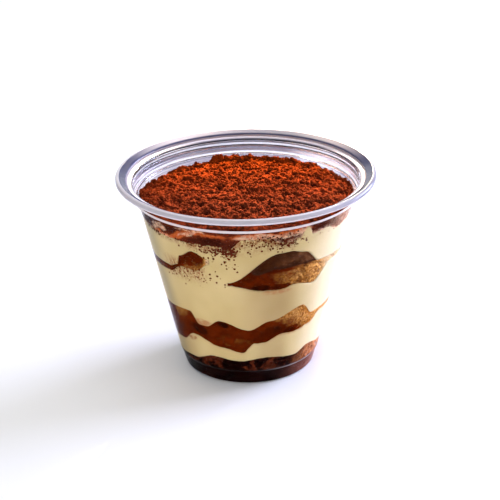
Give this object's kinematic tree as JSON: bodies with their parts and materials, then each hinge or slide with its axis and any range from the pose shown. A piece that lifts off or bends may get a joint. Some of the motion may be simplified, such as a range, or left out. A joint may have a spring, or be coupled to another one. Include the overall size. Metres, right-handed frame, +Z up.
{
  "type": "tiramisu",
  "caption": "Single-serving tiramisu in a clear tapered plastic cup: ladyfingers soaked in coffee, layered with mascarpone cream and dusted thickly with cocoa powder.",
  "frame": {"origin": "centre of the cup's flat base, on the surface it stands on", "axes": "+Z up along the cup's axis, -Y toward the front, where the layers are seen as they were laid"},
  "size_m": [0.095, 0.095, 0.0751],
  "materials": {
    "clear_plastic": "clear, smooth and glossy, faintly blue-grey in the rim",
    "coffee": "smooth, wet, nearly black coffee",
    "soaked_sponge": "wet, crumbly, very dark brown sponge",
    "sponge": "porous sponge, dark brown where soaked and golden where dry",
    "cream": "smooth pale yellow cream, soft sheen",
    "cocoa": "dry, grainy red-brown powder"
  },
  "bodies": {
    "root": {"cup": "clear_plastic", "coffee_syrup": "coffee", "sponge_base": "soaked_sponge", "cream_lower": "cream", "sponge_middle": "sponge", "cream_upper": "cream", "finger_left": "sponge", "finger_right": "sponge", "cocoa": "cocoa"}
  },
  "joints": []
}
